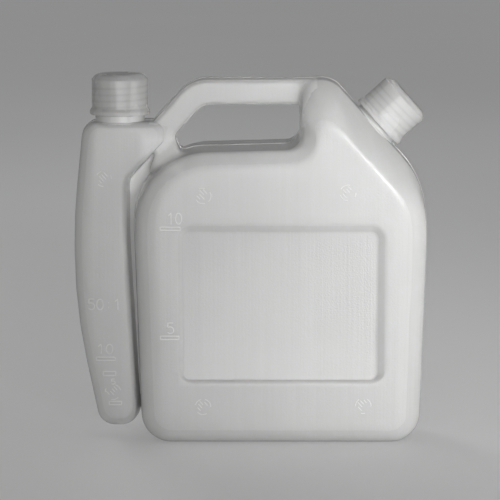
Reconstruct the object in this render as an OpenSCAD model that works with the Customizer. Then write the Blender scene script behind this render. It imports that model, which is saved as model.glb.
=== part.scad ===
// Two-chamber fuel mixing bottle: a petrol chamber with a slanted neck, a slim oil chamber beside it
// with an upright neck, a handle loop over the finger gap, and a lined screw cap on each neck.
// X runs to the right across the front, Y to the back and Z up. The origin is the middle of the base.

/* [Petrol chamber] */
// Greatest width of the petrol chamber
tank_w = 158; // [140:1:180]
// Width of the petrol chamber at the ground
tank_foot_w = 151; // [134:1:172]
// Depth of the petrol chamber, front to back
tank_d = 66; // [58:1:80]
// Height at which the petrol chamber is widest
tank_waist_z = 108; // [90:1:118]
// Height of the chamber's top, the floor of the finger gap
tank_top_z = 160.5; // [150:0.5:176]
// Width of the flat strip that the bottle stands on, front to back
tank_base_d = 40; // [30:1:46]
// Corner radius at the foot, seen from the front
tank_foot_r = 16; // [14:1:22]
// Corner radius beside the oil chamber, seen from the front
tank_top_r = 40; // [28:1:44]
// Width of the rounding from the side walls to the front and back faces
tank_edge = 14; // [11:1:18]
// Width of the tall shoulder to the right of the finger gap
shoulder_w = 68; // [60:1:76]
// Width of the level strip on top of the shoulder
shoulder_flat = 17.5; // [14:0.5:24]
// Slant of the shoulder under the petrol neck, degrees below level
shoulder_slant = 47.8; // [42:0.2:54]
// Corner radius from the slanted shoulder to the right side
shoulder_r = 50; // [30:1:56]
// Width of the slope from the slanted shoulder to the front and back faces
shoulder_edge = 15.5; // [12:0.5:19]

/* [Label panel] */
// Width of the sunk panel at its rim
panel_w = 111.4; // [80:0.2:116]
// Height of the sunk panel at its rim
panel_h = 86; // [60:1:94]
// Height of the panel's lower rim above the ground
panel_z = 34.6; // [28:0.2:42]
// How far the panel stands to the right of the middle, as seen from each face
panel_x = 1.1; // [0:0.1:2]
// Depth of the sunk panel
panel_depth = 2.6; // [1:0.1:4]
// Width of the panel's slanted border on its left
panel_border = 2.6; // [1.5:0.1:4]
// Corner radius of the panel's rim
panel_r = 6; // [4.5:0.5:10]

/* [Oil chamber] */
// Distance from the petrol chamber's left side to the oil neck's axis
oil_axis_gap = 7.3; // [6:0.1:9]
// Depth of the oil chamber, front to back
oil_d = 31; // [29:0.5:38]
// Height of the oil chamber's foot
oil_foot_z = 6.3; // [3:0.1:10]
// Rise of the oil chamber's shoulder above the floor of the finger gap
oil_rise = 12.5; // [9:0.5:15]
// From the oil neck's axis to the outer side at the belly
oil_belly = 24.6; // [20:0.2:30]
// From the oil neck's axis to the outer side at the shoulder
oil_shoulder = 19.4; // [17.5:0.1:20]
// From the oil neck's axis to the inner side at the shoulder
oil_inner_shoulder = 25; // [23:0.5:27]
// Width of the oil chamber's foot
oil_foot_w = 22; // [20:0.5:25]
// Width of the rounding from the oil chamber's outer side to its faces
oil_edge = 9; // [6:0.5:11]

/* [Web] */
// Thickness of the pinched web between the two chambers
web_t = 2.4; // [1.6:0.1:4]
// Height of the web's lower end
web_foot_z = 22; // [16:1:40]
// Thickness of the gusset where it meets the handle's leg
gusset_t = 16; // [10:0.5:19]

/* [Handle] */
// Height of the finger gap under the handle
gap_h = 21.5; // [18:0.5:26]
// Thickness of the handle, seen from the front
handle_t = 14; // [11:0.5:16]
// Depth of the handle, front to back
handle_d = 22; // [18:0.5:26]
// Slant of the handle's leg, degrees below level
leg_slant = 48.5; // [44:0.5:54]
// Rounding of the handle's edges
handle_edge = 2.4; // [1.6:0.1:4]

/* [Wall and necks] */
// Wall thickness of the blown bottle
wall = 1.3; // [0.8:0.1:1.8]
// Outer diameter of the necks
neck_d = 26.3; // [25:0.1:27]
// Bore of the necks
bore_d = 22.5; // [19:0.1:23]
// Distance from the shoulder's upper corner to the petrol neck's axis, along the slant
petrol_neck_run = 34.8; // [30:0.2:40]
// Clear height of the petrol neck between the shoulder and the cap
petrol_neck_show = 1.7; // [1:0.1:6]
// Clear height of the oil neck between the shoulder and the cap
oil_neck_show = 3.4; // [1:0.1:6]

/* [Caps] */
// Outer diameter of the cap's skirt
cap_d = 30.2; // [29.4:0.1:33]
// Height of the cap
cap_h = 22.1; // [18:0.1:28]
// Thickness of the cap's top
cap_top_t = 1.6; // [1:0.1:2.5]
// Gap between the neck and the cap's skirt, all round
cap_clearance = 0.5; // [0.3:0.05:0.6]
// How far the bead at the skirt's lower edge stands out
bead_out = 1.1; // [0.5:0.1:2]
// Height of the bead
bead_h = 2.7; // [1.5:0.1:4]
// Rounding of the cap's upper edge
cap_edge_r = 2.7; // [1:0.1:3]
// Thickness of the sealing disc
liner_t = 1; // [0.6:0.1:1.6]
// Gap above and below the sealing disc, and around it
liner_clearance = 0.1; // [0.05:0.01:0.2]

/* [Hidden] */

natural_white = [0.88, 0.88, 0.86];
cap_white = [0.84, 0.84, 0.82];
foam_white = [0.95, 0.95, 0.93];
$fn = 64;
overlap = 3;
face_crown = 0.15;
smallest_r = 1.5;
outer_step = 18;
inner_step = 36;
tank_levels = 6;
oil_levels = 4;
handle_levels = 3;
hollow_levels = 3;
handle_hollow_levels = 2;

tank_left = -tank_w / 2;
tank_half = tank_d / 2;
gap_wall_x = tank_w / 2 - shoulder_w;
panel_border_shares = [0.5, 1.7, 1.6, 1];
gap_corner_r = [9, 16];
gap_lip_r = [9, 6];
shoulder_corner_r = [14, 18];
side_bow_r = 200;
foot_face_r = tank_foot_r / 2;
shoulder_face_r = 0.36 * shoulder_r;
top_face_r = 0.65 * tank_top_r;
crisp = 1.1;
firm = 1.8;
soft = 2;
right_strip = tank_half - 11;
slant_strip = tank_half - 21;
shoulder_strip = tank_half - 20;
gap_wall_strip = tank_half - 8;
gap_floor_strip = tank_half - 5;
left_strip = tank_half - 9.6;
shoulder_fall = 0.4;
gap_fall = 0.7;
left_fall = 1.4;
base_edge = tank_edge - 1;
left_edge = tank_edge + left_fall;
top_edge = shoulder_edge + 12.5;
gap_wall_edge = tank_edge - 3;
gap_floor_edge = tank_edge - 2;
tank_top_fall = 2.2;
handle_top_z = tank_top_z + gap_h + handle_t;
shoulder_sink = 0.3;
shoulder_top_z = handle_top_z + shoulder_sink;
shoulder_corner = [gap_wall_x + shoulder_flat, shoulder_top_z];
slant_end_x = tank_w / 2;
slant_end_z = shoulder_top_z - (slant_end_x - shoulder_corner.x) * tan(shoulder_slant);

oil_x = tank_left - oil_axis_gap;
oil_top_z = tank_top_z + oil_rise;
oil_half = oil_d / 2;
oil_strip = oil_half - 5;
oil_inner_strip = oil_half - 4;
oil_end_strip = oil_half - 8.5;
oil_top_strip = oil_half - 4.5;
oil_inner_fall = 1.4;
oil_inner_edge = oil_inner_fall + 3.2;
oil_end_edge = 6;
oil_low_edge = 7;
oil_top_edge = 3.2;
oil_belly_z = [72, 122];
oil_belly_r = 300;
oil_foot_r = [9.5, 6];
oil_waist = [5.3, 110];
oil_hip = [5.3, oil_top_z - 32];
oil_hip_r = [9, 9];
oil_hip_drop = 11;
oil_inner_r = [5, 3];
oil_shoulder_r = [9, 6];
oil_hub_out = 8;

handle_root = 7;
handle_end_r = 1;
handle_bend_r = [12, 20];
handle_strip = handle_d / 2 - 2.2;
handle_fall = 0.3;
leg_foot = [oil_x + 20.3, tank_top_z + 4.5];
leg_end_r = 2;
leg_run = (handle_top_z - handle_t / 2 - leg_foot.y) / tan(leg_slant);
handle_bend = [leg_foot.x + leg_run, handle_top_z - handle_t / 2];
leg_tail = 8;
hollow_root = 9;
pinch = 9;
pinch_r = 3;

web_in = 8;
web_top = [19, 8.5];
web_hip = [3, 2];
gusset_low = [[11, 14], [26, 5]];
gusset_root = [20, 34];
gusset_along = [-6, 7];
gusset_cover = 0.7;

neck_h = cap_h - cap_top_t - liner_t - 2 * liner_clearance;
neck_root = 1.5 * wall;
bore_root = 2 * overlap;
skirt_bore_d = neck_d + 2 * cap_clearance;
liner_d = skirt_bore_d - 2 * liner_clearance;
slant_along = [cos(shoulder_slant), -sin(shoulder_slant)];
petrol_neck_foot = shoulder_corner + petrol_neck_run * slant_along;
oil_neck_foot = [oil_x, oil_top_z];

// Outlines are lists of corners [x, z, radius, radius at the faces], counterclockwise as seen from the
// front. Each has a list of edges, one for the side after each corner: [half-depth of the strip along the
// parting plane, fall of that strip to its border, width of the rounding, how softly the rounding leaves
// the strip, how softly it meets the face].
tank_outline = [
    [-tank_foot_w / 2, 0, tank_foot_r, foot_face_r],
    [tank_foot_w / 2, 0, tank_foot_r, foot_face_r],
    [tank_w / 2, tank_waist_z, side_bow_r, side_bow_r],
    [slant_end_x, slant_end_z, shoulder_r, shoulder_face_r],
    [shoulder_corner.x, shoulder_corner.y, each shoulder_corner_r],
    [gap_wall_x, shoulder_top_z, each gap_lip_r],
    [gap_wall_x, tank_top_z, each gap_corner_r],
    [tank_left, tank_top_z - tank_top_fall, tank_top_r, top_face_r],
    [tank_left, tank_waist_z, side_bow_r, side_bow_r],
];
tank_edges = [
    [tank_base_d / 2, 0, base_edge, soft, soft],
    [right_strip, 0, tank_edge, soft, firm],
    [right_strip, 0, tank_edge, soft, firm],
    [slant_strip, shoulder_fall, shoulder_edge, crisp, firm],
    [shoulder_strip, shoulder_fall, top_edge, crisp, soft],
    [gap_wall_strip, gap_fall, gap_wall_edge, crisp, soft],
    [gap_floor_strip, gap_fall, gap_floor_edge, crisp, soft],
    [left_strip, left_fall, left_edge, soft, soft],
    [left_strip, left_fall, left_edge, soft, soft],
];
tank_hub = [tank_w / 4, tank_top_z / 2];

oil_outline = [
    [oil_x - oil_foot_w / 2, oil_foot_z, each oil_foot_r],
    [oil_x + oil_foot_w / 2, oil_foot_z, each oil_foot_r],
    [oil_x + oil_waist.x, oil_waist.y, side_bow_r, side_bow_r],
    [oil_x + oil_hip.x, oil_hip.y, each oil_hip_r],
    [oil_x + oil_inner_shoulder, oil_top_z - oil_hip_drop, each oil_inner_r],
    [oil_x + oil_inner_shoulder, oil_top_z, each oil_inner_r],
    [oil_x - oil_shoulder, oil_top_z, each oil_shoulder_r],
    [oil_x - oil_belly, oil_belly_z[1], oil_belly_r, oil_belly_r],
    [oil_x - oil_belly, oil_belly_z[0], oil_belly_r, oil_belly_r],
];
oil_edges = [
    [oil_end_strip, 0, oil_low_edge, soft, soft],
    [oil_inner_strip, oil_inner_fall, oil_inner_edge, firm, soft],
    [oil_inner_strip, oil_inner_fall, oil_inner_edge, firm, soft],
    [oil_inner_strip, oil_inner_fall, oil_inner_edge, firm, soft],
    [oil_end_strip, 0, oil_end_edge, soft, soft],
    [oil_top_strip, 0, oil_top_edge, firm, soft],
    [oil_strip, 0, oil_edge, soft, soft],
    [oil_strip, 0, oil_edge, soft, soft],
    [oil_strip, 0, oil_edge, soft, soft],
];
oil_hub = [oil_x - oil_hub_out, oil_hip.y];

handle_outline = [
    [gap_wall_x + handle_root, handle_top_z - handle_t, handle_end_r, handle_end_r],
    [gap_wall_x + handle_root, handle_top_z, handle_end_r, handle_end_r],
    handle_corner(1, handle_bend_r[1]),
    leg_point(1, -leg_tail, leg_end_r),
    leg_point(-1, -leg_tail, leg_end_r),
    handle_corner(-1, handle_bend_r[0]),
];
handle_edges = [for (corner = handle_outline) [handle_strip, handle_fall, handle_edge, firm, soft]];

// A point of the handle's leg: side is 1 on its upper edge and -1 on its lower edge, and along is
// measured up the leg from its foot.
function leg_point(side, along, radius) = [
    leg_foot.x + along * cos(leg_slant) - side * handle_t / 2 * sin(leg_slant),
    leg_foot.y + along * sin(leg_slant) + side * handle_t / 2 * cos(leg_slant),
    radius,
    radius
];

// The corner where the handle's bar turns down into its leg, on its upper or lower edge.
function handle_corner(side, radius) = [
    handle_bend.x - side * handle_t / 2 * tan(leg_slant / 2),
    handle_bend.y + side * handle_t / 2,
    radius,
    radius
];

function unit(v) = v / norm(v);
function wrap(list, i) = list[(i + len(list)) % len(list)];
function side_along(o, i) = unit([wrap(o, i + 1).x - wrap(o, i).x, wrap(o, i + 1).y - wrap(o, i).y]);
function side_inward(o, i) = [-side_along(o, i).y, side_along(o, i).x];
function turn(a, b) = atan2(a.x * b.y - a.y * b.x, a.x * b.x + a.y * b.y);

// Where the sides before and after corner i meet once each is moved inwards by its own amount.
function moved_corner(o, i, before, after) =
    let (
        n = side_inward(o, i - 1),
        m = side_inward(o, i),
        corner = [o[i].x, o[i].y],
        a = n * corner + before,
        b = m * corner + after
    )
    [a * m.y - b * n.y, n.x * b - m.x * a] / (n.x * m.y - n.y * m.x);

// The points of an outline whose sides are moved inwards, with its corners rounded. A corner's radius
// changes with the shares that its two sides have gone to the face, and a wall inside makes it smaller.
function inset_outline(o, insets, shares, arc_step, thinner = 0) = [
    for (i = [0 : len(o) - 1])
        let (
            n = side_inward(o, i - 1),
            bend = turn(n, side_inward(o, i)),
            out = sign(bend),
            share = (wrap(shares, i - 1) + shares[i]) / 2,
            r = max(smallest_r, o[i][2] + (o[i][3] - o[i][2]) * share - out * thinner),
            centre = moved_corner(o, i, wrap(insets, i - 1) + out * r, insets[i] + out * r),
            steps = ceil(abs(bend) / arc_step)
        )
        for (k = [0 : steps])
            let (angle = atan2(n.y, n.x) + bend * k / steps)
            centre - out * r * [cos(angle), sin(angle)]
];

// The share of its rounding that a side has gone at depth y, and how far it has moved inwards there.
function edge_share(edge, y, half) =
    let (t = min(1, max(0, (y - edge[0]) / (half - edge[0]))))
    1 - pow(1 - pow(t, edge[3]), 1 / edge[4]);
function edge_inset(edge, y, half) =
    edge[1] * min(1, y / edge[0]) + (edge[2] - edge[1]) * edge_share(edge, y, half);

// A closed skin through rings of points, with a middle point at each end.
module ring_skin(rings, hub, crown = 0) {
    count = len(rings[0]);
    last = len(rings) - 1;
    points = concat(
        [for (ring = rings) each ring],
        [[hub.x, rings[0][0].y - crown, hub.y], [hub.x, rings[last][0].y + crown, hub.y]]
    );
    sides = [
        for (r = [0 : last - 1])
            for (i = [0 : count - 1])
                let (a = r * count + i, b = r * count + (i + 1) % count)
                each [[a, b + count, a + count], [a, b, b + count]]
    ];
    front = [for (i = [0 : count - 1]) [i, len(points) - 2, (i + 1) % count]];
    back = [for (i = [0 : count - 1]) [last * count + (i + 1) % count, len(points) - 1, last * count + i]];
    polyhedron(points, concat(sides, front, back), convexity = 6);
}

// A blown form: an outline in the parting plane, rounded off towards its front and back faces.
// Thinner makes the same form smaller all over by a wall, for the space inside.
module blown_form(o, edges, half, hub, levels, thinner = 0) {
    arc_step = thinner > 0 ? inner_step : outer_step;
    inner_half = half - thinner;
    inner_edges = [for (edge = edges) [edge[0] - thinner, edge[1], edge[2], edge[3], edge[4]]];
    rings = [
        for (k = [-levels : levels])
            let (
                y = inner_half * (1 - pow(1 - abs(k) / levels, 2)),
                insets = [for (edge = inner_edges) thinner + edge_inset(edge, y, inner_half)],
                shares = [for (edge = inner_edges) edge_share(edge, y, inner_half)]
            )
            [for (p = inset_outline(o, insets, shares, arc_step, thinner)) [p.x, sign(k) * y, p.y]]
    ];
    ring_skin(rings, hub, face_crown);
}

// The sunk panel as a solid to cut away, on the front or, turned round, on the back.
module panel_cut(face, grown) {
    o = [
        [panel_x - panel_w / 2 - grown, panel_z - grown, panel_r, panel_r],
        [panel_x + panel_w / 2 + grown, panel_z - grown, panel_r, panel_r],
        [panel_x + panel_w / 2 + grown, panel_z + panel_h + grown, panel_r, panel_r],
        [panel_x - panel_w / 2 - grown, panel_z + panel_h + grown, panel_r, panel_r],
    ];
    level = [for (corner = o) 0];
    hub = [panel_x, panel_z + panel_h / 2];
    borders = panel_border * panel_border_shares;
    rings = [
        for (y = [-overlap, panel_depth + grown])
            [
                for (p = inset_outline(o, y / panel_depth * borders, level, outer_step))
                    [p.x, y - tank_half, p.y]
            ]
    ];
    rotate([0, 0, face]) ring_skin(rings, hub);
}

module both_panels(grown) {
    for (face = [0, 180]) panel_cut(face, grown);
}

module at_petrol_neck() {
    translate([petrol_neck_foot.x, 0, petrol_neck_foot.y])
        rotate([0, shoulder_slant, 0])
            children();
}

module at_oil_neck() {
    translate([oil_neck_foot.x, 0, oil_neck_foot.y]) children();
}

module neck(show) {
    translate([0, 0, -neck_root]) cylinder(h = neck_root + show + neck_h, d = neck_d);
}

module neck_bore(show) {
    translate([0, 0, -bore_root]) cylinder(h = bore_root + show + neck_h + overlap, d = bore_d);
}

// The flat web between the chambers.
module web() {
    rotate([90, 0, 0])
        linear_extrude(height = web_t, center = true)
            polygon([
                [oil_x, web_foot_z],
                [tank_left + tank_foot_r / 2, web_foot_z],
                [tank_left + web_in, tank_waist_z],
                [tank_left + web_top.x, tank_top_z - web_top.y],
                leg_foot,
                [oil_x + web_hip.x, oil_hip.y + web_hip.y],
            ]);
}

// The gusset spreads from the underside of the handle's leg to the petrol chamber's top.
module gusset() {
    tops = [for (along = gusset_along) leg_point(-gusset_cover, along, 0)];
    feet = [for (low = gusset_low) [tank_left + low.x, tank_top_z - low.y]];
    corners = [
        for (i = [0, 1])
            for (side = [-1, 1])
                each [
                    [tops[i].x, side * gusset_t / 2, tops[i].y],
                    [feet[i].x, side * gusset_root[i] / 2, feet[i].y]
                ]
    ];
    hull() polyhedron(corners, [for (i = [1 : len(corners) - 2]) [0, i, i + 1]]);
}

// The blown forms melt into one skin, which is as deep as the petrol chamber.
module outer_form() {
    resize([0, tank_d + 2 * face_crown, 0])
        union() {
            difference() {
                blown_form(tank_outline, tank_edges, tank_half, tank_hub, tank_levels);
                both_panels(0);
            }
            blown_form(oil_outline, oil_edges, oil_half, oil_hub, oil_levels);
            blown_form(handle_outline, handle_edges, handle_d / 2, handle_bend, handle_levels);
            web();
            gusset();
        }
    at_petrol_neck() neck(petrol_neck_show);
    at_oil_neck() neck(oil_neck_show);
}

// The handle is blown open to the petrol chamber and pinched shut before it reaches the oil chamber.
module handle_hollow() {
    o = [
        [gap_wall_x + hollow_root, handle_top_z - handle_t, handle_end_r, handle_end_r],
        [gap_wall_x + hollow_root, handle_top_z, handle_end_r, handle_end_r],
        handle_corner(1, handle_bend_r[1]),
        leg_point(1, pinch, pinch_r),
        leg_point(-1, pinch, pinch_r),
        handle_corner(-1, handle_bend_r[0]),
    ];
    blown_form(o, handle_edges, handle_d / 2, handle_bend, handle_hollow_levels, wall);
}

module inner_space() {
    resize([0, tank_d - 2 * wall + 2 * face_crown, 0])
        union() {
            difference() {
                blown_form(tank_outline, tank_edges, tank_half, tank_hub, hollow_levels, wall);
                both_panels(wall);
            }
            blown_form(oil_outline, oil_edges, oil_half, oil_hub, hollow_levels, wall);
            handle_hollow();
        }
    at_petrol_neck() neck_bore(petrol_neck_show);
    at_oil_neck() neck_bore(oil_neck_show);
}

module bottle() {
    color(natural_white)
        difference() {
            outer_form();
            inner_space();
        }
}

// The cap stands with its lower edge at the height that leaves the neck showing.
module cap(show) {
    color(cap_white)
        translate([0, 0, show])
            rotate_extrude()
                difference() {
                    union() {
                        square([cap_d / 2, cap_h - cap_edge_r]);
                        square([cap_d / 2 - cap_edge_r, cap_h]);
                        translate([cap_d / 2 - cap_edge_r, cap_h - cap_edge_r])
                            intersection() {
                                circle(r = cap_edge_r);
                                square(cap_edge_r);
                            }
                        square([cap_d / 2 + bead_out, bead_h]);
                    }
                    translate([0, -overlap])
                        square([skirt_bore_d / 2, cap_h - cap_top_t + overlap]);
                }
}

module liner(show) {
    color(foam_white)
        translate([0, 0, show + neck_h + liner_clearance])
            cylinder(h = liner_t, d = liner_d);
}

module petrol_cap() at_petrol_neck() cap(petrol_neck_show);
module petrol_cap_liner() at_petrol_neck() liner(petrol_neck_show);
module oil_cap() at_oil_neck() cap(oil_neck_show);
module oil_cap_liner() at_oil_neck() liner(oil_neck_show);

bottle();
petrol_cap();
petrol_cap_liner();
oil_cap();
oil_cap_liner();
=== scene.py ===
import math
import random

import bpy
from mathutils import Matrix, Vector
from mathutils.bvhtree import BVHTree


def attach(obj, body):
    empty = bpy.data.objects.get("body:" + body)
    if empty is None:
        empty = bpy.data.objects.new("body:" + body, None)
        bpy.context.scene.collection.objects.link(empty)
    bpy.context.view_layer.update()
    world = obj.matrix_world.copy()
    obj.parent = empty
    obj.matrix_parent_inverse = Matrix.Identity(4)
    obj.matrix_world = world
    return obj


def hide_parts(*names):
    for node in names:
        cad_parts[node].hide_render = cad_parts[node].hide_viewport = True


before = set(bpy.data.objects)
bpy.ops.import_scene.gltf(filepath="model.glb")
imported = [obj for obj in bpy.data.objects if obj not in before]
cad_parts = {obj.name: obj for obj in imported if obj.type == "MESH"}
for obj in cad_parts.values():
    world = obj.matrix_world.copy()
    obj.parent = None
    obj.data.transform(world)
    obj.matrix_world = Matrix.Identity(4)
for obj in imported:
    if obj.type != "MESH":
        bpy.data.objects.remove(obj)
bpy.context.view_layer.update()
bpy.ops.object.select_all(action="DESELECT")


# The table that the bottle stands on: a plain pale sheet, wide enough to fill the picture. The camera is at
# the photograph's height, and soft lamps stand in front of the bottle, at its right and behind it.
camera_distance = 1.5
camera_pitch = math.radians(9)
aim = Vector((-0.016, 0, 0.1018))
camera_reach = camera_distance * Vector((0, -math.cos(camera_pitch), math.sin(camera_pitch)))
bpy.ops.object.camera_add(location=aim + camera_reach, rotation=(math.pi / 2 - camera_pitch, 0, 0))
camera = bpy.context.object
camera.data.lens = 198.2
camera.data.sensor_width = 36
camera.data.clip_end = 60
bpy.context.scene.camera = camera
bpy.context.scene.view_settings.view_transform = "Standard"


def lamp(name, place, towards, size, power, spread=180, shines=True):
    """A soft lamp: its size is in metres, its power in watts and the spread of its beam in degrees.
    One that doesn't shine lights the surfaces and leaves no glint on them."""
    bpy.ops.object.light_add(type="AREA", location=place)
    made = bpy.context.object
    made.name = name
    made.data.shape = "RECTANGLE"
    made.data.size, made.data.size_y = size
    made.data.energy = power
    made.data.spread = math.radians(spread)
    made.visible_camera = False
    made.visible_glossy = shines
    made.rotation_euler = (Vector(towards) - Vector(place)).to_track_quat("-Z", "Y").to_euler()


lamp("key_lamp", (0.42, -1.2, 0.34), towards=(0.14, 0, 0.13), size=(0.25, 0.35), power=0.33, spread=24)
lamp("side_lamp", (1.1, -0.55, 0.2), towards=aim, size=(0.12, 0.36), power=2.0)
lamp("fill_lamp", (-0.08, -1.72, 0.22), towards=aim, size=(0.6, 0.4), power=5.2)
lamp("rim_lamp", (0.5, 1.3, 0.9), towards=aim, size=(1.2, 0.5), power=1.0)
lamp("back_lamp", (-0.75, 1.6, 0.6), towards=aim, size=(0.7, 0.7), power=0.5, spread=30, shines=False)


class Wire:
    """A node's output, so that a material's sums read as plain expressions."""

    def __init__(self, tree, socket=None):
        self.tree = tree
        self.socket = socket

    def node(self, kind, settings=None, values=None, out=0):
        made = self.tree.nodes.new(kind)
        for key, value in (settings or {}).items():
            setattr(made, key, value)
        for key, value in (values or {}).items():
            if isinstance(value, Wire):
                self.tree.links.new(value.socket, made.inputs[key])
            else:
                made.inputs[key].default_value = value
        return Wire(self.tree, made.outputs[out])

    def maths(self, operation, a, b):
        return self.node("ShaderNodeMath", {"operation": operation}, {0: a, 1: b})

    def __add__(self, other):
        return self.maths("ADD", self, other)

    def __radd__(self, other):
        return self.maths("ADD", other, self)

    def __sub__(self, other):
        return self.maths("SUBTRACT", self, other)

    def __rsub__(self, other):
        return self.maths("SUBTRACT", other, self)

    def __mul__(self, other):
        return self.maths("MULTIPLY", self, other)

    def __rmul__(self, other):
        return self.maths("MULTIPLY", other, self)

    def noise(self, place, scale, detail=2):
        return self.node("ShaderNodeTexNoise", values={"Vector": place, "Scale": scale, "Detail": detail})

    def blend(self, share, a, b):
        colours = {"Factor": share, 6: (*a, 1), 7: (*b, 1)}
        return self.node("ShaderNodeMix", {"data_type": "RGBA"}, colours, out=2)

    def into(self, shader, socket):
        self.tree.links.new(self.socket, shader.inputs[socket])


def new_material(name):
    """A material, its main shader, a wire to start its nodes from, and the place on the piece."""
    made = bpy.data.materials.new(name)
    made.use_nodes = True
    wire = Wire(made.node_tree)
    place = wire.node("ShaderNodeTexCoord", out="Object")
    return made, made.node_tree.nodes["Principled BSDF"], wire, place


def dress(piece, material):
    piece.data.materials.clear()
    piece.data.materials.append(material)


table_size = 24
table_dull = (0.60, 0.60, 0.60)
table_bright = (0.64, 0.64, 0.64)
table_glow = 0.16
bpy.ops.mesh.primitive_plane_add(size=table_size)
table = bpy.context.object
table.name = "table"
pale_table, shader, wire, place = new_material("pale_table")
mottle = wire.noise(place, 3.0, detail=3)
wire.blend(mottle, table_dull, table_bright).into(shader, "Base Color")
shader.inputs["Roughness"].default_value = 0.7
seen = 0
for ray in ("Is Camera Ray", "Is Glossy Ray", "Is Transmission Ray"):
    seen = seen + wire.node("ShaderNodeLightPath", out=ray)
glow = wire.node("ShaderNodeCombineColor", values=dict.fromkeys(range(3), seen * table_glow))
glow.into(shader, "Emission Color")
shader.inputs["Emission Strength"].default_value = 1
dress(table, pale_table)

world = bpy.data.worlds.new("studio")
bpy.context.scene.world = world
world.use_nodes = True
sky = world.node_tree.nodes["Background"]
sky.inputs["Color"].default_value = (0.9, 0.9, 0.9, 1)
sky.inputs["Strength"].default_value = 0.18


# The bottle is one blown piece of natural polyethylene, milky and a little waxy. A tube of hot plastic is
# closed in a two-part mould and blown out, so both chambers, the web between them and the handle are one
# skin, with soft corners and a parting line all round the middle.
mm = 0.001


def pick(piece):
    """Makes a piece the only one that the next operators act on."""
    bpy.ops.object.select_all(action="DESELECT")
    piece.select_set(True)
    bpy.context.view_layer.objects.active = piece


def inset_outline(corners, insets, shares, step):
    """The corners [x, z, radius, radius at the face], rounded, once each side has moved inwards by its own
    amount. A corner's radius changes with the shares that its two sides have gone to the face."""
    count = len(corners)
    inward = []
    for i in range(count):
        a, b = corners[i], corners[(i + 1) % count]
        dx, dz = b[0] - a[0], b[1] - a[1]
        length = math.hypot(dx, dz)
        inward.append((-dz / length, dx / length))
    points = []
    for i, (x, z, radius, face_radius) in enumerate(corners):
        n, m = inward[i - 1], inward[i]
        cross = n[0] * m[1] - n[1] * m[0]
        bend = math.atan2(cross, n[0] * m[0] + n[1] * m[1])
        out = 1 if bend > 0 else -1
        r = radius + (face_radius - radius) * (shares[i - 1] + shares[i]) / 2
        p = n[0] * x + n[1] * z + insets[i - 1] + out * r
        q = m[0] * x + m[1] * z + insets[i] + out * r
        centre = ((p * m[1] - q * n[1]) / cross, (n[0] * q - m[0] * p) / cross)
        steps = max(2, math.ceil(abs(math.degrees(bend)) / step))
        start = math.atan2(n[1], n[0])
        for k in range(steps + 1):
            angle = start + bend * k / steps
            points.append((centre[0] - out * r * math.cos(angle), centre[1] - out * r * math.sin(angle)))
    return points


def loft(name, rings):
    """A closed mesh through rings of points in millimetres, with a flat face at each end."""
    count = len(rings[0])
    points = [Vector(p) * mm for ring in rings for p in ring]
    faces = []
    for r in range(len(rings) - 1):
        for i in range(count):
            j = (i + 1) % count
            faces.append((r * count + i, r * count + j, (r + 1) * count + j, (r + 1) * count + i))
    faces.append(tuple(reversed(range(count))))
    faces.append(tuple(range((len(rings) - 1) * count, len(rings) * count)))
    mesh = bpy.data.meshes.new(name)
    mesh.from_pydata(points, [], faces)
    made = bpy.data.objects.new(name, mesh)
    bpy.context.scene.collection.objects.link(made)
    pick(made)
    bpy.ops.object.mode_set(mode="EDIT")
    bpy.ops.mesh.select_all(action="SELECT")
    bpy.ops.mesh.normals_make_consistent(inside=False)
    bpy.ops.object.mode_set(mode="OBJECT")
    return made


def blown(name, corners, edges, half, levels=14, step=5, wall=0):
    """A blown form: an outline in the parting plane, rounded off to its front and back faces.
    An edge is [half-depth of the strip along the parting plane, how far that strip falls to its border,
    width of the rounding, softness where it leaves the strip, softness where it meets the face]."""
    rings = []
    for k in range(-levels, levels + 1):
        y = (half - wall) * (1 - (1 - abs(k) / levels) ** 2)
        insets = []
        shares = []
        for strip, fall, width, leaving, meeting in edges:
            t = min(1, max(0, (y - strip + wall) / (half - strip)))
            rounding = 1 - (1 - t**leaving) ** (1 / meeting)
            shares.append(rounding)
            insets.append(wall + fall * min(1, y / (strip - wall)) + (width - fall) * rounding)
        depth = math.copysign(y, k)
        outline = inset_outline(corners, insets, shares, step)
        rings.append([(x, depth, z) for x, z in outline])
    return loft(name, rings)


tank_corners = [
    (-75.5, 0, 16, 8),
    (75.5, 0, 16, 8),
    (79, 108, 200, 200),
    (79, 140.6, 50, 18),
    (28.5, 196.3, 14, 18),
    (11, 196.3, 9, 6),
    (11, 160.5, 9, 16),
    (-79, 158.3, 40, 26),
    (-79, 108, 200, 200),
]
tank_edges = [
    (20, 0, 13, 2.0, 2.0),
    (22, 0, 14, 2.0, 1.8),
    (22, 0, 14, 2.0, 1.8),
    (12, 0.4, 15.5, 1.1, 1.8),
    (13, 0.4, 28, 1.1, 2.0),
    (25, 0.7, 11, 1.1, 2.0),
    (28, 0.7, 12, 1.1, 2.0),
    (23.4, 1.4, 15.4, 2.0, 2.0),
    (23.4, 1.4, 15.4, 2.0, 2.0),
]
tank_half = 33
oil_x = -86.3
oil_top = 173
oil_corners = [
    (oil_x - 11, 6.3, 9.5, 6),
    (oil_x + 11, 6.3, 9.5, 6),
    (oil_x + 5.3, 110, 200, 200),
    (oil_x + 5.3, 141, 9, 9),
    (oil_x + 25, 162, 5, 3),
    (oil_x + 25, oil_top, 6, 3),
    (oil_x - 19.4, oil_top, 9, 6),
    (oil_x - 24.6, 122, 300, 290),
    (oil_x - 24.6, 72, 300, 290),
]
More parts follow.
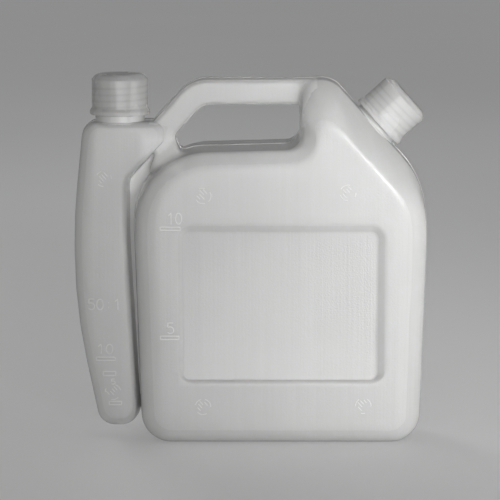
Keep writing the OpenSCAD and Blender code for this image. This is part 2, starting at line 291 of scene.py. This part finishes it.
oil_edges = [
    (6, 0, 7, 2.0, 2.0),
    (11.5, 1.4, 4.6, 1.8, 2.0),
    (11.5, 1.4, 4.6, 1.8, 2.0),
    (11.5, 1.4, 4.6, 1.8, 2.0),
    (7, 0, 6, 2.0, 2.0),
    (11, 0, 3.2, 1.6, 2.0),
    (10.5, 0, 9, 2.0, 2.0),
    (10.5, 0, 9, 2.0, 2.0),
    (10.5, 0, 9, 2.0, 2.0),
]
oil_half = 15.5
handle_slope = math.radians(48.5)
handle_thick = 14
handle_half = 11
leg_foot = (oil_x + 20.3, 165)
bar_z = 189
bend_x = leg_foot[0] + (bar_z - leg_foot[1]) / math.tan(handle_slope)


def leg_point(side, along, radius=1):
    """A corner of the handle's leg: so far along it from its foot, on its upper (1) or lower (-1) side."""
    across = side * handle_thick / 2
    return (
        leg_foot[0] + along * math.cos(handle_slope) - across * math.sin(handle_slope),
        leg_foot[1] + along * math.sin(handle_slope) + across * math.cos(handle_slope),
        radius,
        radius,
    )


def handle_bend(side, radius):
    across = side * handle_thick / 2
    return (bend_x - across * math.tan(handle_slope / 2), bar_z + across, radius, radius)


handle_end_x = 20
leg_root = -8
handle_corners = [
    (handle_end_x, bar_z - handle_thick / 2, 1, 1),
    (handle_end_x, bar_z + handle_thick / 2, 1, 1),
    handle_bend(1, 20),
    leg_point(1, leg_root, 2),
    leg_point(-1, leg_root, 2),
    handle_bend(-1, 12),
]
handle_edges = [(8.8, 0.3, 2.4, 1.6, 2.0)] * len(handle_corners)
web_half = 1.2
web_corners = [(oil_x, 22), (-71, 22), (-71, 108), (-60, 152), leg_foot, (oil_x + 3, 148)]
gusset_feet = [(-71, 146, 10), (-53, 155.5, 17)]
gusset_tops = [leg_point(-0.7, -6)[:2] + (8,), leg_point(-0.7, 7)[:2] + (8,)]

tank = blown("tank_form", tank_corners, tank_edges, tank_half)
oil = blown("oil_form", oil_corners, oil_edges, oil_half)
handle = blown("handle_form", handle_corners, handle_edges, handle_half, levels=8)
web = loft("web_form", [[(x, y, z) for x, z in web_corners] for y in (-web_half, web_half)])
gusset_rings = []
for (x0, z0, half0), (x1, z1, half1) in (gusset_feet, gusset_tops):
    gusset_rings.append([(x0, -half0, z0), (x1, -half1, z1), (x1, half1, z1), (x0, half0, z0)])
gusset = loft("gusset_form", gusset_rings)


def join(pieces, name):
    bpy.ops.object.select_all(action="DESELECT")
    for piece in pieces:
        piece.select_set(True)
    bpy.context.view_layer.objects.active = pieces[0]
    bpy.ops.object.join()
    made = bpy.context.object
    made.name = name
    return made


def remesh(piece, voxel, adaptivity=0):
    pick(piece)
    piece.data.remesh_voxel_size = voxel * mm
    piece.data.remesh_voxel_adaptivity = adaptivity * mm
    bpy.ops.object.voxel_remesh()


def finish_with(piece, kind, **settings):
    pick(piece)
    modifier = piece.modifiers.new(kind.lower(), kind)
    for key, value in settings.items():
        setattr(modifier, key, value)
    bpy.ops.object.modifier_apply(modifier=modifier.name)


def combine(piece, other, operation):
    finish_with(piece, "BOOLEAN", operation=operation, object=other, solver="MANIFOLD")
    bpy.data.objects.remove(other)


def fade(value, none, full):
    """0 at none and past it, 1 at full and past it, and an even slope in between."""
    return max(0, min(1, (value - none) / (full - none)))


def band(value, low, full_low, full_high, high):
    """1 from full_low to full_high, fading to 0 at low and at high."""
    return min(fade(value, low, full_low), fade(value, high, full_high))


skin = join([tank, handle, gusset], "bottle_skin")
remesh(skin, 0.9, adaptivity=0.1)
cove = skin.vertex_groups.new(name="cove")
for vertex in skin.data.vertices:
    x, y, z = vertex.co / mm
    beside_handle = band(x, -1, 13, 13, 27) * fade(z, 176, 184) * band(abs(y), 8, 11, 18, 24)
    round_gusset = band(x, -78, -72, -52, -46) * band(z, 142, 147, 167, 172) * fade(abs(y), 24, 18)
    cove.add([vertex.index], max(beside_handle, round_gusset), "REPLACE")
finish_with(skin, "SMOOTH", factor=0.5, iterations=2)
finish_with(skin, "SMOOTH", factor=0.6, iterations=40, vertex_group="cove")
remesh(oil, 1.0)
finish_with(oil, "SMOOTH", factor=0.5, iterations=3)
combine(skin, oil, "UNION")
combine(skin, web, "UNION")

# The skin's plastic is milky. Its colour is painted whiter where the plastic is doubled, at the necks and
# the gusset, partly for the thickness and partly as painted light, and paler still in the slot between the
# chambers and on the top of the handle, a painted glow where shade falls. The mould was blasted on its front
# and back faces, so they are grained and drawn in fine streaks, and the rounded edges are smooth.
milky_wall = (0.59, 0.59, 0.582)
white_and_painted_glow_wall = (0.95, 0.95, 0.94)
polyethylene_ior = 1.52


def waxy(shader, weight, depths):
    """Lets light sink into the plastic: what share of it, and how deep the red, green and blue go."""
    shader.inputs["Subsurface Weight"].default_value = weight
    shader.inputs["Subsurface Radius"].default_value = depths
    shader.inputs["Subsurface Scale"].default_value = 1.0
    shader.inputs["IOR"].default_value = polyethylene_ior


def measured(wire, name):
    """The number that a mesh keeps for each of its points under this name."""
    return wire.node("ShaderNodeAttribute", {"attribute_name": name}, out=2)


def streaks(wire, place, by):
    drawn = wire.node("ShaderNodeMapping", values={"Vector": place, "Scale": by})
    return wire.noise(drawn, 1.0)


def bumpy(wire, height, strength, distance):
    return wire.node("ShaderNodeBump", values={"Height": height, "Strength": strength, "Distance": distance})


milky, shader, wire, place = new_material("milky_polyethylene")
cloud = wire.noise(place, 22.0)
streak = streaks(wire, place, (900, 900, 14))
broad_streak = streaks(wire, place, (210, 210, 5))
grain = wire.noise(place, 1500.0)
tone = cloud * 0.55 + broad_streak * 0.3 + streak * 0.15
# Painted light: this measure lifts the colour towards white at the necks, the gusset, the slot between the
# chambers and the handle's top.
tone = tone * 0.36 + measured(wire, "thick_and_painted_glow") * 0.37
wire.blend(tone, milky_wall, white_and_painted_glow_wall).into(shader, "Base Color")
blasted_from = {"Value": measured(wire, "facing"), "From Min": 0.86, "From Max": 0.96}
blasted = wire.node("ShaderNodeMapRange", values=blasted_from)
(cloud * 0.04 + streak * 0.04 + blasted * 0.18 + 0.1).into(shader, "Roughness")
relief = (streak * 0.75 + broad_streak * 0.4 + grain) * (blasted * 0.92 + 0.08)
bumpy(wire, relief, 0.24, 0.0004).into(shader, "Normal")
waxy(shader, 0.5, (0.0024, 0.0024, 0.0023))


# The parting line: a thin ragged bead of flash where the two halves of the mould met, of the same plastic,
# left proud all round the middle of the skin except at the necks, between the chambers and at the foot.
petrol_slant = math.radians(47.8)
petrol_axis = Vector((math.sin(petrol_slant), 0, math.cos(petrol_slant)))
upright = Vector((0, 0, 1))
necks = {
    "petrol": (Vector((51.88, 0, 170.52)) * mm, petrol_axis),
    "oil": (Vector((oil_x, 0, oil_top)) * mm, upright),
}


def from_neck(point, foot, axis):
    """How far along a neck's axis a point lies from the foot, and how far off the axis, in millimetres."""
    offset = (point - foot) / mm
    along = offset.dot(axis)
    return along, (offset - along * axis).length


pick(skin)
bpy.ops.object.duplicate()
flash = bpy.context.object
flash.name = "parting_flash"
bpy.ops.object.mode_set(mode="EDIT")
bpy.ops.mesh.select_all(action="SELECT")
bpy.ops.mesh.bisect(plane_co=(0, 0, 0), plane_no=(0, 1, 0), clear_inner=True, clear_outer=True)
bpy.ops.mesh.select_all(action="DESELECT")
bpy.ops.object.mode_set(mode="OBJECT")
for vertex in flash.data.vertices:
    at_neck = False
    for foot, axis in necks.values():
        along, off = from_neck(vertex.co, foot, axis)
        at_neck = at_neck or (off < 13.4 and abs(along) < 12)
    between_chambers = -88 * mm < vertex.co.x < -68 * mm and vertex.co.z < 164 * mm
    at_foot = vertex.co.z < 14 * mm
    vertex.select = at_neck or between_chambers or at_foot
bpy.ops.object.mode_set(mode="EDIT")
bpy.ops.mesh.delete(type="VERT")
bpy.ops.object.mode_set(mode="OBJECT")
bpy.ops.object.convert(target="CURVE")
flash = bpy.context.object
flash.data.bevel_depth = 0.42 * mm
flash.data.bevel_resolution = 1
flash.data.use_fill_caps = True
ragged = random.Random(4)
for spline in flash.data.splines:
    swell = 0.7
    for point in spline.points:
        swell = min(1.15, max(0.5, swell + ragged.uniform(-0.14, 0.14)))
        point.radius = swell
bpy.ops.object.convert(target="MESH")
flash = bpy.context.object
bpy.ops.object.shade_smooth()
dress(flash, milky)
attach(flash, "bottle")


# The necks rise from the shoulders and are blown in one with the skin, of the same plastic. Each has a
# short collar with a soft foot, part of which shows under the cap, and then the spout that the cap grips.
def turned(name, profile, steps=96):
    """A solid of revolution about Z, from a closed profile of (radius, height) in millimetres."""
    bpy.ops.object.select_all(action="DESELECT")
    bpy.ops.mesh.primitive_plane_add(size=mm)
    made = bpy.context.object
    made.name = name
    bpy.ops.object.mode_set(mode="EDIT")
    bpy.ops.mesh.select_all(action="SELECT")
    bpy.ops.mesh.merge(type="CENTER")
    last = profile[0]
    bpy.ops.transform.translate(value=(last[0] * mm, 0, last[1] * mm))
    for r, z in profile[1:]:
        step = ((r - last[0]) * mm, 0, (z - last[1]) * mm)
        bpy.ops.mesh.extrude_region_move(TRANSFORM_OT_translate={"value": step})
        last = (r, z)
    bpy.ops.mesh.select_all(action="SELECT")
    bpy.ops.mesh.spin(steps=steps, angle=2 * math.pi, center=(0, 0, 0), axis=(0, 0, 1))
    bpy.ops.mesh.select_all(action="SELECT")
    bpy.ops.mesh.remove_doubles(threshold=0.001 * mm)
    bpy.ops.mesh.normals_make_consistent(inside=False)
    bpy.ops.object.mode_set(mode="OBJECT")
    return made


def move(piece, foot, axis):
    turn = upright.rotation_difference(axis).to_matrix().to_4x4()
    piece.data.transform(Matrix.Translation(foot) @ turn)
    return piece


def arc(x, z, wide, high, start, end, count=5):
    """Points along part of an ellipse about (x, z), from one angle to another in degrees."""
    angles = [math.radians(start + (end - start) * k / count) for k in range(count + 1)]
    return [(x + wide * math.cos(a), z + high * math.sin(a)) for a in angles]


neck_r = 13.15
neck_rise = 19.3
lip = 0.6
collar_r = 13.3
collar_fillet = 1.0
collar_root = -2.5
collar_shows = {"petrol": 1.7, "oil": 3.4}
for name, (foot, axis) in necks.items():
    show = collar_shows[name]
    rim = show + neck_rise
    profile = [(0, collar_root), (collar_r + collar_fillet, collar_root)]
    profile += arc(collar_r + collar_fillet, 0.4, collar_fillet, collar_fillet, 270, 180)
    profile += [(collar_r, show - 0.2), (neck_r, show + 0.2)]
    profile += arc(neck_r - lip, rim - lip, lip, lip, 0, 90, 4) + [(0, rim)]
    combine(skin, move(turned("neck", profile), foot, axis), "UNION")


# The sunk label panel on the front and the back: a soft rim, a slanted border that is wider at the right
# and at the top, and a flat floor. The wall follows it, so the hollow is smaller by the same shape. Once
# the hollow and the bores of the necks are cut, the skin is finished.
wall = 1.3
bore_r = 11.25
panel_corners = [(-54.6, 34.6, 8, 4), (56.8, 34.6, 8, 4), (56.8, 120.6, 8, 4), (-54.6, 120.6, 8, 4)]
panel_border = (1.3, 4.4, 4.2, 2.6)
panel_steps = [
    (-1.4, -1.2),
    (-0.5, -0.18),
    (-0.02, 0.12),
    (0.45, 0.88),
    (0.9, 2.2),
    (1.03, 2.5),
    (1.27, 2.6),
]


def cut_panels(piece, grown=0):
    """Cuts both panels. A step is [share of the border's width, depth below the face]."""
    rings = []
    for share, depth in panel_steps:
        insets = [share * border - grown for border in panel_border]
        ring = inset_outline(panel_corners, insets, [share] * len(panel_corners), 6)
        rings.append([(x, depth + grown - tank_half, z) for x, z in ring])
    for side in (0, math.pi):
        cutter = loft("panel_cut", rings)
        cutter.data.transform(Matrix.Rotation(side, 4, "Z"))
        combine(piece, cutter, "DIFFERENCE")


inside = blown("tank_inside", tank_corners, tank_edges, tank_half, levels=8, step=10, wall=wall)
cut_panels(inside, wall)
combine(skin, inside, "DIFFERENCE")
inside = blown("oil_inside", oil_corners, oil_edges, oil_half, levels=8, step=10, wall=wall)
combine(skin, inside, "DIFFERENCE")
for foot, axis in necks.values():
    bore = turned("bore", [(0, -7), (bore_r, -7), (bore_r, 30), (0, 30)])
    combine(skin, move(bore, foot, axis), "DIFFERENCE")
cut_panels(skin)
pick(skin)
bpy.ops.object.shade_smooth_by_angle(angle=math.radians(40))


def keep(piece, name, numbers):
    """Keeps one number for each point of a mesh, for its material to read."""
    piece.data.attributes.new(name, "FLOAT", "POINT").data.foreach_set("value", numbers)


# Painted light: the slot between the chambers and the upturned top of the handle, which lie in shade, get a
# painted glow, and the doubled plastic of the necks and the gusset is painted whiter as well.
doubled_and_painted_light = 1
painted_glow = 1.5
facing = []
thick_and_painted_glow = []
for vertex in skin.data.vertices:
    x, y, z = vertex.co / mm
    faces = abs(vertex.normal.y)
    in_gusset = min(band(x, -76, -72, -56, -50), band(z, 147, 151, 164, 170))
    in_slot = min(band(x, -89, -86, -72.5, -68), fade(z, 150, 141), fade(abs(y), 14.5, 11.5))
    share = max(doubled_and_painted_light * in_gusset, painted_glow * in_slot)
    if -70 < x < 20 and z > 172 and faces < 0.6:
        share = painted_glow
    for foot, axis in necks.values():
        along, off = from_neck(vertex.co, foot, axis)
        if along > -1.2 and off < 15.2:
            share = doubled_and_painted_light
    facing.append(faces)
    thick_and_painted_glow.append(share)
keep(skin, "facing", facing)
keep(skin, "thick_and_painted_glow", thick_and_painted_glow)
dress(skin, milky)
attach(skin, "bottle")
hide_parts("bottle")


# The screw threads: one rounded ridge of the same plastic round each neck, formed by the mould, and one
# inside each cap. The two are half a pitch apart, so a cap's ridge runs between the turns of the neck's.
pitch = 3.2
ridge_height = 0.42
ridge_form = ((-0.75, -0.12), (-0.35, 0.86), (0, 1), (0.35, 0.86), (0.75, -0.12))
per_turn = 48
run_out = per_turn * 0.2
neck_turns = 3.2


def thread(name, root_r, height, low, turns):
    """A helical ridge whose ends run out, on a cylinder of radius root_r.
    The height is negative inside a cap."""
    rings = []
    count = int(turns * per_turn)
    for k in range(count + 1):
        share = band(k, 0, run_out, count - run_out, count)
        angle = 2 * math.pi * k / per_turn
        z = low + pitch * k / per_turn
        ring = []
        for along, out in ridge_form:
            r = root_r + height * (out * share if out > 0 else out)
            ring.append((r * math.cos(angle), r * math.sin(angle), z + along))
        rings.append(ring)
    made = loft(name, rings)
    bpy.ops.object.shade_smooth_by_angle(angle=math.radians(50))
    return made


for name, (foot, axis) in necks.items():
    low = collar_shows[name] + 5.5
    ridge = move(thread(name + "_neck_thread", neck_r, ridge_height, low, neck_turns), foot, axis)
    dress(ridge, milky)
    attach(ridge, "bottle")


# The raised marks on the front: filling lines with their figures on both chambers, and the round slotted
# plugs that let air out of the mould, each leaving a small disc of slanting ridges. They are painted paler
# than the skin, a painted sheen that stands in for the glints on their beads.
# Painted highlight: the pale colours of the marks stand in for the sheen on their beads.
marks_painted_sheen_dull = (0.79, 0.79, 0.78)
marks_painted_sheen_bright = (0.88, 0.88, 0.87)
marks_painted_sheen, shader, wire, place = new_material("marks_painted_sheen_polyethylene")
cloud = wire.noise(place, 240.0)
wire.blend(cloud, marks_painted_sheen_dull, marks_painted_sheen_bright).into(shader, "Base Color")
(cloud * 0.12 + 0.16).into(shader, "Roughness")
shader.inputs["IOR"].default_value = polyethylene_ior
surface = BVHTree.FromObject(skin, bpy.context.evaluated_depsgraph_get())
figures = {
    "0": [arc(0.5, 0.5, 0.42, 0.5, 90, -270, 18)],
    "1": [[(0.22, 0.78), (0.55, 1.0), (0.55, 0.0)]],
    "5": [[(0.88, 1.0), (0.22, 1.0), (0.14, 0.52)] + arc(0.48, 0.32, 0.42, 0.32, 142, -140, 12)],
    ":": [[(0.45, 0.22), (0.55, 0.22)], [(0.45, 0.66), (0.55, 0.66)]],
}


def written(text, x, z, width, height):
    strokes = []
    for i, figure in enumerate(text):
        for stroke in figures[figure]:
            strokes.append([(x + (i + px * 0.9) * width, z + pz * height) for px, pz in stroke])
    return strokes


def bar(x0, x1, z0, z1):
    return [[(x0, z0), (x1, z0), (x1, z1), (x0, z1), (x0, z0)]]


def raised(name, strokes, radius):
    """Fine beads along strokes of (x, z) in millimetres, laid on the front of the skin."""
    longest = 1.0
    well_in_front = -0.1
    lift = 0.25 * radius * mm
    curve = bpy.data.curves.new(name, "CURVE")
    curve.dimensions = "3D"
    curve.bevel_depth = radius * mm
    curve.bevel_resolution = 1
    curve.use_fill_caps = True
    for stroke in strokes:
        fine = []
        for (ax, az), (bx, bz) in zip(stroke, stroke[1:]):
            parts = max(1, math.ceil(math.hypot(bx - ax, bz - az) / longest))
            fine += [(ax + (bx - ax) * k / parts, az + (bz - az) * k / parts) for k in range(parts)]
        fine.append(stroke[-1])
        spline = curve.splines.new("POLY")
        spline.points.add(len(fine) - 1)
        for point, (x, z) in zip(spline.points, fine):
            hit = surface.ray_cast(Vector((x * mm, well_in_front, z * mm)), Vector((0, 1, 0)))[0]
            point.co = (x * mm, hit.y + lift, z * mm, 1)
    made = bpy.data.objects.new(name, curve)
    bpy.context.scene.collection.objects.link(made)
    pick(made)
    bpy.ops.object.convert(target="MESH")
    made = bpy.context.object
    bpy.ops.object.shade_smooth()
    dress(made, marks_painted_sheen)
    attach(made, "bottle")


scale_bead = 0.42
marks = written("10", -60.2, 120.8, 4.2, 6.0) + bar(-63.9, -53.3, 117.5, 119.2)
marks += written("5", -60.9, 61.6, 4.8, 5.8) + bar(-64.0, -54.2, 58.4, 60.2)
raised("petrol_scale", marks, scale_bead)
marks = written("50:1", -104.0, 71.5, 4.7, 5.8)
marks += written("10", -99.2, 47.2, 4.8, 5.2) + bar(-99.4, -89.2, 43.6, 45.3)
marks += bar(-95.7, -89.0, 35.2, 37.4) + written("5", -91.7, 30.4, 3.0, 2.9) + bar(-92.5, -86.0, 19.0, 20.9)
raised("oil_scale", marks, scale_bead)

vent_bead = 0.34
vent_r = 4.2
vent_step = 15
vent_places = ((-41.0, 136.1), (36.0, 137.7), (-41.3, 21.6), (44.8, 22.1), (-94.7, 142.9), (-90.5, 26.1))
slot_slant = math.radians(-48)
vents = []
slots = random.Random(11)
for x, z in vent_places:
    turn = slots.randint(0, 23)
    for first in (turn, turn + 7, turn + 15):
        count = slots.randint(2, 5)
        vents.append(arc(x, z, vent_r, vent_r, first * vent_step, (first + count) * vent_step, count))
    for offset in (-2.4, -0.8, 0.8, 2.4):
        reach = math.sqrt(vent_r**2 - offset**2) - 0.6
        low = reach * slots.uniform(-1, -0.3)
        high = low + reach * slots.uniform(0.7, 1.2)
        ends = []
        for along in (low, high):
            across = along * math.cos(slot_slant) - offset * math.sin(slot_slant)
            up = along * math.sin(slot_slant) + offset * math.cos(slot_slant)
            ends.append((x + across, z + up))
        vents.append(ends)
raised("vent_marks", vents, vent_bead)


# The caps are moulded of the same plastic and screw on to the necks: a skirt with a bead at its foot and
# nine fine ribs down the side, a small ledge, and a rounded edge to the top, which has a gate mark in its
# middle. Faint dark lines of painted shade run round the skirt where the thread inside shows through.
cap_r = 15.1
cap_h = 22.1
cap_top = 1.6
skirt_bore_r = 13.65
skirt_low = 4.2
skirt_high = 18.0
skirt_rows = 40
foot_r = 15.6
foot_bead = 0.6
foot_cove = 1.6
dome_wide = 4.6
dome_high = 3.9
profile = [(skirt_bore_r, 0.25), (skirt_bore_r + 0.25, 0), (foot_r + 0.1, 0)]
profile += arc(foot_r, foot_bead, foot_bead, foot_bead, -90, 0, 4)
profile += arc(foot_r, 1.9, foot_bead, foot_bead, 0, 50, 3)
profile += arc(cap_r + foot_cove, skirt_low, foot_cove, foot_cove, 232, 180)
for k in range(1, skirt_rows + 1):
    profile.append((cap_r, skirt_low + (skirt_high - skirt_low) * k / skirt_rows))
profile += [(cap_r, 18.9), (cap_r - 0.06, 19.15), (cap_r - 0.22, 19.32)]
for turn in (24, 34, 45, 56, 67, 78, 88):
    angle = math.radians(turn)
    dome_r = cap_r - 0.2 - dome_wide * (1 - math.cos(angle))
    profile.append((dome_r, cap_h - 0.2 - dome_high * (1 - math.sin(angle))))
profile += [(9.6, cap_h - 0.36), (6, cap_h - 0.42), (1.9, cap_h - 0.42)]
profile += [(1.6, cap_h - 0.5), (0.8, cap_h - 0.55), (0, cap_h - 0.4)]
under = cap_h - cap_top
profile += [(0, under), (skirt_bore_r - 0.4, under), (skirt_bore_r, under - 0.4)]
profile.append(profile[0])
cap = turned("cap", profile, steps=128)


def off_nearest(value, spacing):
    """How far a value is from the nearest of a row of lines, one of which is at 0."""
    return abs((value + spacing / 2) % spacing - spacing / 2)


skirt_face = 14.5
first_rib = -106
rib_spacing = 40
rib_half = 1.4
rib_height = 0.09
for vertex in cap.data.vertices:
    r = math.hypot(vertex.co.x, vertex.co.y) / mm
    angle = math.degrees(math.atan2(vertex.co.y, vertex.co.x))
    on_skirt = r > skirt_face and 4.0 < vertex.co.z / mm < 18.5
    if on_skirt and off_nearest(angle - first_rib, rib_spacing) < rib_half:
        vertex.co.x *= 1 + rib_height / r
        vertex.co.y *= 1 + rib_height / r
cap_turns = 4.0
cap = join([cap, thread("cap_thread", skirt_bore_r, -ridge_height, 3.9, cap_turns)], "cap")
line_pitch = 3.4
line_width = 0.6
first_line = 4.7
shades = []
for vertex in cap.data.vertices:
    height = vertex.co.z / mm
    turns = (math.degrees(math.atan2(vertex.co.y, vertex.co.x)) + 90) / 360
    off = off_nearest(height - first_line - line_pitch * turns, line_pitch)
    shown = 3.5 < height < 17.2 and math.hypot(vertex.co.x, vertex.co.y) / mm > skirt_face
    shades.append(math.exp(-((off / line_width) ** 2)) if shown else 0)
keep(cap, "thread_shade", shades)
bpy.ops.object.shade_smooth_by_angle(angle=math.radians(35))

cap_dim = (0.48, 0.48, 0.474)
cap_bright = (0.70, 0.70, 0.69)
capping, shader, wire, place = new_material("cap_polyethylene")
grain = wire.noise(place, 1300.0)
cloud = wire.noise(place, 60.0)
patch = wire.noise(place, 260.0)
# Painted shade: the skirt's colour darkens along the lines of the thread inside.
tone = cloud * 0.5 + patch * 0.3 + 0.2 - measured(wire, "thread_shade") * patch * 0.6
wire.blend(tone, cap_dim, cap_bright).into(shader, "Base Color")
(cloud * 0.12 + 0.2).into(shader, "Roughness")
bumpy(wire, grain, 0.08, 0.0003).into(shader, "Normal")
waxy(shader, 0.45, (0.003, 0.003, 0.0028))
dress(cap, capping)
oil_cap = cap.copy()
oil_cap.data = cap.data.copy()
bpy.context.scene.collection.objects.link(oil_cap)
for piece, node, name in ((cap, "petrol_cap", "petrol"), (oil_cap, "oil_cap", "oil")):
    foot, axis = necks[name]
    piece.name = node + "_shell"
    move(piece, foot + axis * collar_shows[name] * mm, axis)
    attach(piece, node)
    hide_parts(node)


# The liners are discs of white foam, punched from sheet and pressed into the caps, where they seal on the
# rims of the necks. The solids have their whole shape, so they only get the look of the foam here.
foam_dull = (0.86, 0.86, 0.84)
foam_white = (0.93, 0.93, 0.91)
foam, shader, wire, place = new_material("liner_foam")
cells = wire.node("ShaderNodeTexVoronoi", values={"Vector": place, "Scale": 1600.0})
cloud = wire.noise(place, 200.0, detail=3)
wire.blend(cloud, foam_dull, foam_white).into(shader, "Base Color")
bumpy(wire, cells, 0.4, 0.0003).into(shader, "Normal")
shader.inputs["Roughness"].default_value = 0.8
for node in ("petrol_cap_liner", "oil_cap_liner"):
    dress(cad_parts[node], foam)
